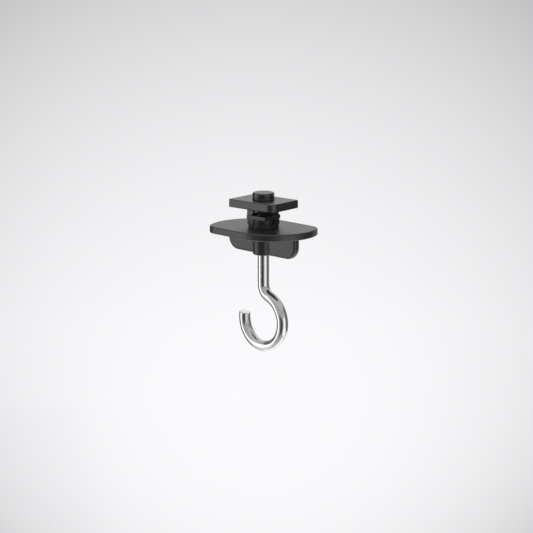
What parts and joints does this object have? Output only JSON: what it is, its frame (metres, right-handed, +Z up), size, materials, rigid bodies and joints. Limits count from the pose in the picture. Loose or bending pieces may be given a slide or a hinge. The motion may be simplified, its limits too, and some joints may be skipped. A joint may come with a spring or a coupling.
{
  "type": "lighting track suspension hook",
  "caption": "Black quarter-turn locking head, guide neck and cover flange with a finger wing, carrying a bright bent wire hook for hanging things from a lighting track.",
  "frame": {"origin": "centre of the cover flange's top face, which meets the underside of the track", "axes": "+Z up into the track along the stem; the wing, the long side of the flange and the plane of the hook lie along X; the long side of the locking plate stands 4.5 degrees round from X"},
  "size_m": [0.0362, 0.0262, 0.0571],
  "materials": {
    "bright_wire": "bright plated round wire",
    "black_moulding": "fine satin black moulding",
    "black_metal": "satin black coating",
    "brass_insert": "turned"
  },
  "bodies": {
    "root": {"hook": "bright_wire", "cover_flange": "black_moulding", "threaded_insert": "brass_insert", "guide_collar": "black_moulding", "locking_head": "black_metal", "cap_washer": "black_metal", "cap_nut": "black_metal"}
  },
  "joints": []
}
